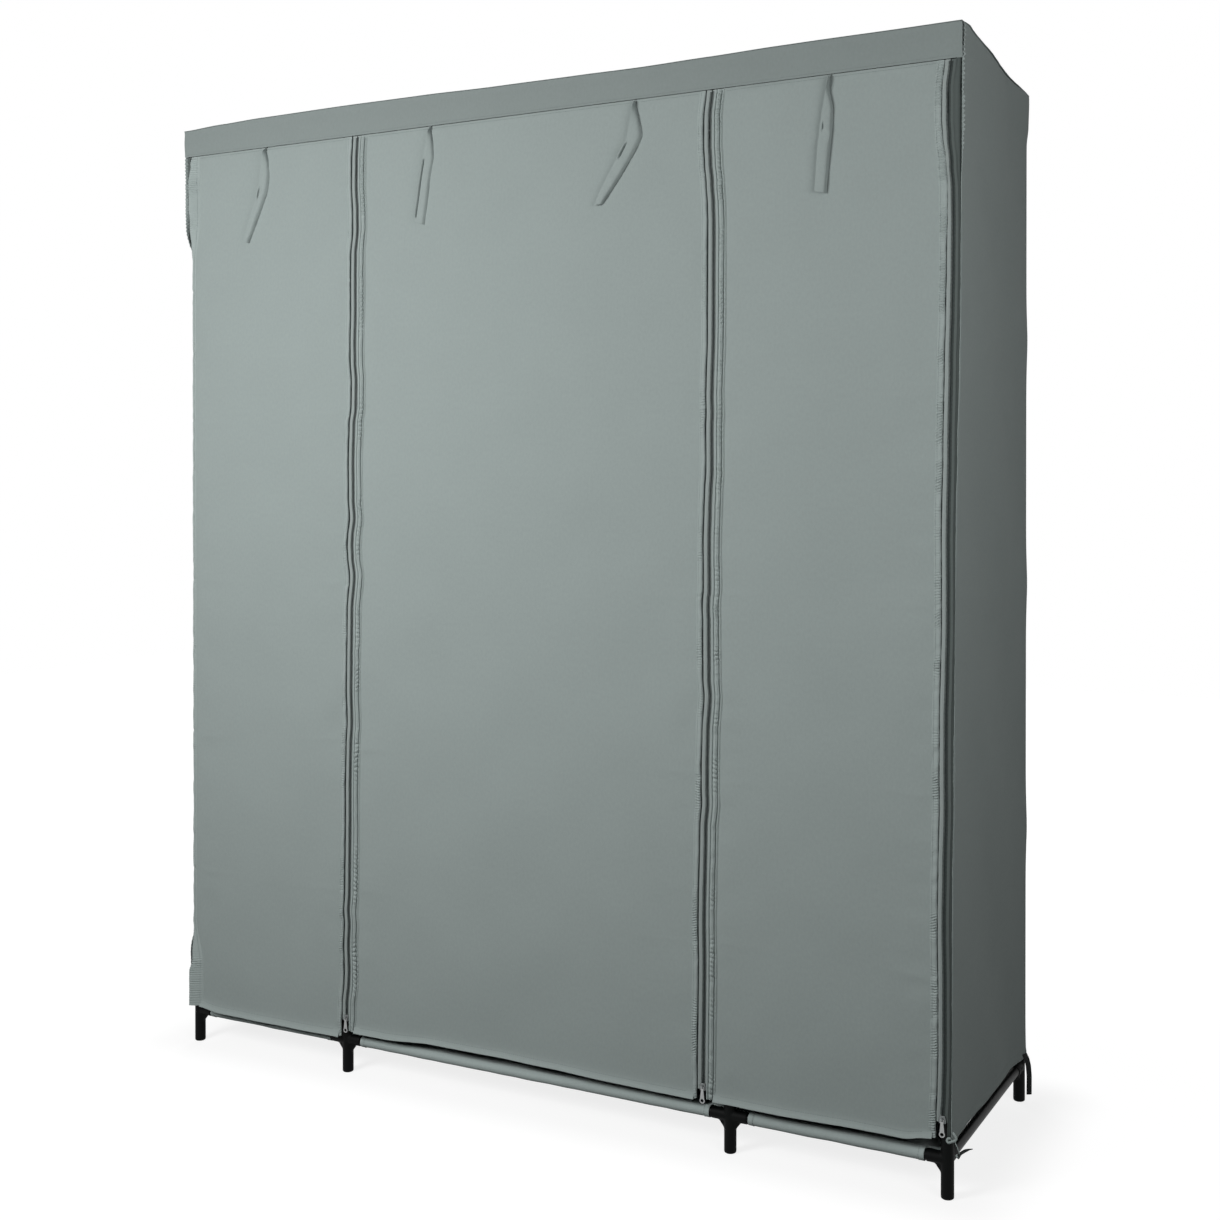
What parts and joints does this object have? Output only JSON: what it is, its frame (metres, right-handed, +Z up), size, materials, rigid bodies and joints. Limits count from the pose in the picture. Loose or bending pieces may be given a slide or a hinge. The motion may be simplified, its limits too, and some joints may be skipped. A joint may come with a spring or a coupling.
{
  "type": "portable fabric wardrobe",
  "caption": "Freestanding clothes wardrobe: plug-together tube frame, fabric shelves beside a hanging bay, and a fabric cover whose front doors close with zips.",
  "frame": {"origin": "on the floor, under the middle of the wardrobe", "axes": "+X to the right seen from the front, +Y to the back (the doors face -Y), +Z up"},
  "size_m": [1.5106, 0.4728, 1.75],
  "materials": {
    "frame_steel": "satin",
    "connector_plastic": "matte",
    "cover_fabric": "matte",
    "shelf_fabric": "matte",
    "zip_tape": "matte",
    "zip_metal": "polished"
  },
  "bodies": {
    "frame": {"foot_front_left_end": "connector_plastic", "foot_front_left_middle": "connector_plastic", "foot_front_right_middle": "connector_plastic", "foot_front_right_end": "connector_plastic", "foot_rear_left_end": "connector_plastic", "foot_rear_left_middle": "connector_plastic", "foot_rear_right_middle": "connector_plastic", "foot_rear_right_end": "connector_plastic", "post_front_left_end": "frame_steel", "post_front_left_middle": "frame_steel", "post_front_right_middle": "frame_steel", "post_front_right_end": "frame_steel", "post_rear_left_end": "frame_steel", "post_rear_left_middle": "frame_steel", "post_rear_right_middle": "frame_steel", "post_rear_right_end": "frame_steel", "top_rail_front_left": "frame_steel", "top_rail_front_centre": "frame_steel", "top_rail_front_right": "frame_steel", "top_rail_rear_left": "frame_steel", "top_rail_rear_centre": "frame_steel", "top_rail_rear_right": "frame_steel", "top_depth_rail_left_end": "frame_steel", "top_depth_rail_left_middle": "frame_steel", "top_depth_rail_right_middle": "frame_steel", "top_depth_rail_right_end": "frame_steel", "bottom_depth_rail_left_end": "frame_steel", "bottom_depth_rail_left_middle": "frame_steel", "bottom_depth_rail_right_middle": "frame_steel", "bottom_depth_rail_right_end": "frame_steel", "hanging_rod": "frame_steel", "bottom_shelf_left": "shelf_fabric", "bottom_shelf_centre": "shelf_fabric", "bottom_shelf_right": "shelf_fabric", "side_shelf_left_1": "shelf_fabric", "side_shelf_left_2": "shelf_fabric", "side_shelf_left_3": "shelf_fabric", "side_shelf_right_1": "shelf_fabric", "side_shelf_right_2": "shelf_fabric", "side_shelf_right_3": "shelf_fabric", "cover_top": "cover_fabric", "cover_header": "cover_fabric", "cover_back": "cover_fabric", "cover_side_left": "cover_fabric", "cover_side_right": "cover_fabric"},
    "door_left": {"door_left": "cover_fabric", "zip_left_corner": "zip_tape"},
    "door_centre": {"door_centre": "cover_fabric", "zip_left_middle": "zip_tape", "zip_right_middle": "zip_tape"},
    "door_right": {"door_right": "cover_fabric", "zip_right_corner": "zip_tape"},
    "slider_left_corner": {"slider_left_corner": "zip_metal"},
    "slider_left_middle": {"slider_left_middle": "zip_metal"},
    "slider_right_middle": {"slider_right_middle": "zip_metal"},
    "slider_right_corner": {"slider_right_corner": "zip_metal"},
    "pull_left_corner": {"pull_left_corner": "zip_metal"},
    "pull_left_middle": {"pull_left_middle": "zip_metal"},
    "pull_right_middle": {"pull_right_middle": "zip_metal"},
    "pull_right_corner": {"pull_right_corner": "zip_metal"}
  },
  "joints": [
    {"name": "door_left_lift", "type": "hinge", "parent": "frame", "child": "door_left", "pos_m": [-0.5435, -0.2335, 1.6991], "axis": [-1, 0, 0], "range_deg": [0, 95]},
    {"name": "door_centre_lift", "type": "hinge", "parent": "frame", "child": "door_centre", "pos_m": [0, -0.2335, 1.6991], "axis": [-1, 0, 0], "range_deg": [0, 95]},
    {"name": "door_right_lift", "type": "hinge", "parent": "frame", "child": "door_right", "pos_m": [0.5405, -0.2335, 1.6991], "axis": [-1, 0, 0], "range_deg": [0, 95]},
    {"name": "slider_left_corner_run", "type": "slide", "parent": "door_left", "child": "slider_left_corner", "axis": [-0.0042, 0, 1], "range_m": [0, 1.51]},
    {"name": "slider_left_middle_run", "type": "slide", "parent": "door_centre", "child": "slider_left_middle", "axis": [0.015, 0, 0.9999], "range_m": [0, 1.53]},
    {"name": "slider_right_middle_run", "type": "slide", "parent": "door_centre", "child": "slider_right_middle", "axis": [0.0069, 0, 1], "range_m": [0, 1.53]},
    {"name": "slider_right_corner_run", "type": "slide", "parent": "door_right", "child": "slider_right_corner", "axis": [0.0042, 0, 1], "range_m": [0, 1.51]},
    {"name": "pull_left_corner_swing", "type": "hinge", "parent": "slider_left_corner", "child": "pull_left_corner", "pos_m": [-0.73355, -0.2377, 0.124], "axis": [-1, 0, -0.0042], "range_deg": [0, 160]},
    {"name": "pull_left_middle_swing", "type": "hinge", "parent": "slider_left_middle", "child": "pull_left_middle", "pos_m": [-0.371, -0.2377, 0.104], "axis": [-0.9999, 0, 0.015], "range_deg": [0, 160]},
    {"name": "pull_right_middle_swing", "type": "hinge", "parent": "slider_right_middle", "child": "pull_right_middle", "pos_m": [0.341, -0.2377, 0.104], "axis": [-1, 0, 0.0069], "range_deg": [0, 160]},
    {"name": "pull_right_corner_swing", "type": "hinge", "parent": "slider_right_corner", "child": "pull_right_corner", "pos_m": [0.73355, -0.2377, 0.124], "axis": [-1, 0, 0.0042], "range_deg": [0, 160]}
  ]
}
